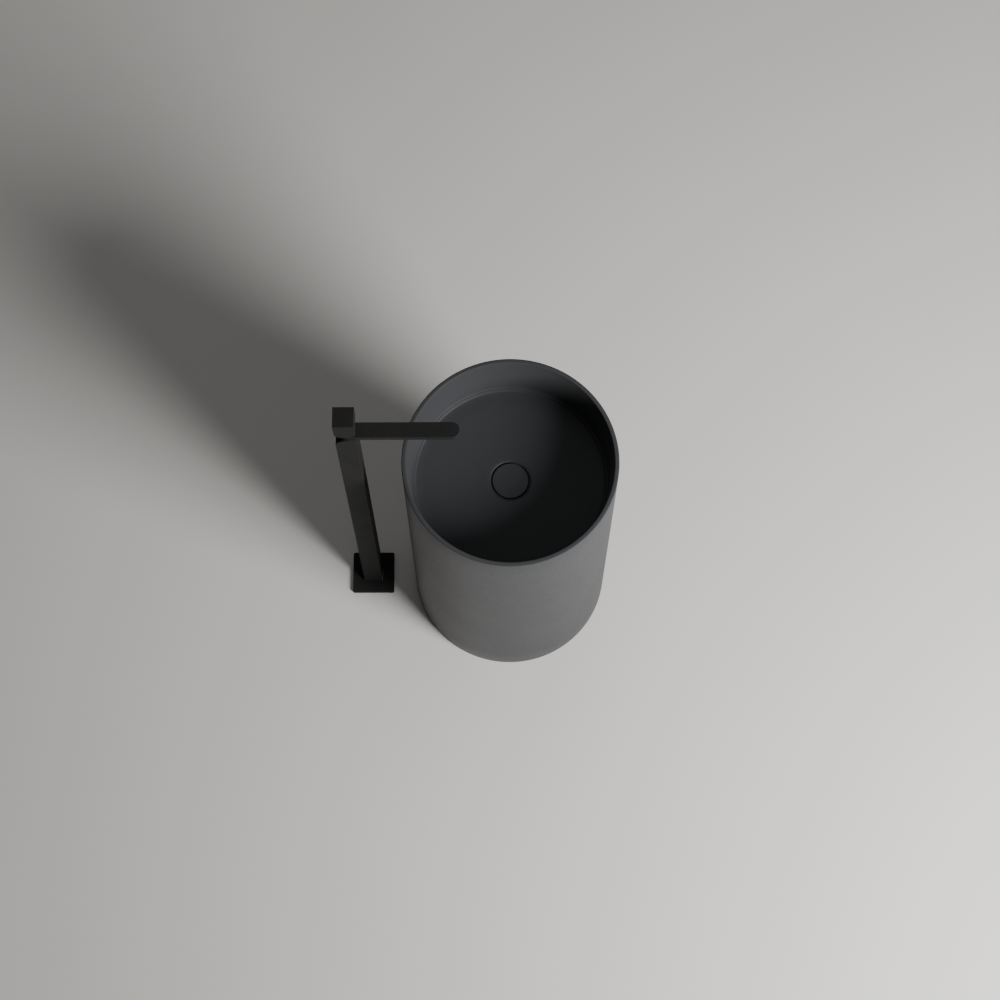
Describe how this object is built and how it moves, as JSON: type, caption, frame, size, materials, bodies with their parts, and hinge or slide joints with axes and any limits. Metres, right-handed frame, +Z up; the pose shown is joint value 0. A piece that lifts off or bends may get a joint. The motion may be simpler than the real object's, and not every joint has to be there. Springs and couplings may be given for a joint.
{
  "type": "floor-standing basin with tap",
  "caption": "Cylindrical floor-standing washbasin with a round bowl and press-to-close waste, beside a square floor-standing joystick mixer tap.",
  "frame": {"origin": "middle of the floor rectangle that the basin and the tap's floor plate cover together, on the floor; the basin's axis is at X = +0.07425 and the tap's axis at X = -0.24825, Y = -0.0035", "axes": "+Z up; +X from the tap to the basin, along the spout; -Y is the side the user stands on"},
  "size_m": [0.5936, 0.445, 1.1385],
  "materials": {
    "basin_ceramic": "matte",
    "tap_black": "matte",
    "brass": "satin",
    "steel": "satin",
    "chrome": "gloss",
    "rubber": "matte",
    "white_plastic": "matte",
    "grey_plastic": "matte",
    "disc_ceramic": "polished",
    "hose_braid": "satin"
  },
  "bodies": {
    "basin_and_tap": {"basin_column": "basin_ceramic", "waste_body": "chrome", "waste_top_gasket": "rubber", "waste_under_gasket": "rubber", "waste_slip_washer": "white_plastic", "waste_lock_nut": "brass", "click_housing": "brass", "click_lock_nut": "brass", "click_spring": "steel", "trap_inlet_washer": "rubber", "trap_inlet_tube": "chrome", "trap_inlet_nut": "chrome", "trap_body": "chrome", "trap_top_washer": "rubber", "trap_top_nut": "chrome", "trap_cup": "chrome", "trap_cup_seal": "rubber", "trap_outlet_washer": "rubber", "trap_outlet_nut": "chrome", "waste_outlet_pipe": "chrome", "floor_waste_collar": "rubber", "floor_bracket_1": "steel", "floor_bracket_2": "steel", "bracket_screw_1": "steel", "bracket_screw_2": "steel", "tap_foot_flange": "steel", "flange_screw_1": "steel", "flange_screw_2": "steel", "flange_screw_3": "steel", "flange_screw_4": "steel", "tap_cover_plate": "tap_black", "tap_column": "tap_black", "tap_body": "tap_black", "lower_stem_o_ring": "rubber", "upper_stem_o_ring": "rubber", "body_clamp_washer": "steel", "body_clamp_nut": "brass", "spout": "tap_black", "aerator_housing": "tap_black", "aerator_insert": "grey_plastic", "cartridge_housing": "white_plastic", "cartridge_base": "grey_plastic", "fixed_ceramic_disc": "disc_ceramic", "cartridge_nut": "tap_black", "hot_hose": "hose_braid", "cold_hose": "hose_braid", "hot_hose_fitting": "brass", "cold_hose_fitting": "brass"},
    "drain_plug": {"drain_cover": "basin_ceramic", "cover_stem": "brass", "cover_seal": "rubber"},
    "mixing_guide": {"spindle_guide": "white_plastic", "spindle_pin": "steel"},
    "flow_disc": {"moving_ceramic_disc": "disc_ceramic", "disc_carrier": "grey_plastic"},
    "handle": {"handle_block": "tap_black", "spindle": "steel", "grub_screw": "steel", "grub_screw_plug": "rubber"}
  },
  "joints": [
    {"name": "drain_lift", "type": "slide", "parent": "basin_and_tap", "child": "drain_plug", "axis": [0, 0, 1], "range_m": [0, 0.008], "deforming": ["click_spring"]},
    {"name": "handle_turn", "type": "hinge", "parent": "basin_and_tap", "child": "mixing_guide", "pos_m": [-0.24825, -0.0035, 1.084], "axis": [0, 0, 1], "range_deg": [-45, 45]},
    {"name": "handle_tilt", "type": "hinge", "parent": "mixing_guide", "child": "handle", "pos_m": [-0.24825, -0.0035, 1.084], "axis": [0, 1, 0], "range_deg": [0, 20]},
    {"name": "disc_slide", "type": "slide", "parent": "mixing_guide", "child": "flow_disc", "axis": [1, 0, 0], "range_m": [-0.003, 0]}
  ],
  "couplings": [
    {"joint": "disc_slide", "follows": "handle_tilt", "m_per_rad": -0.0075}
  ]
}
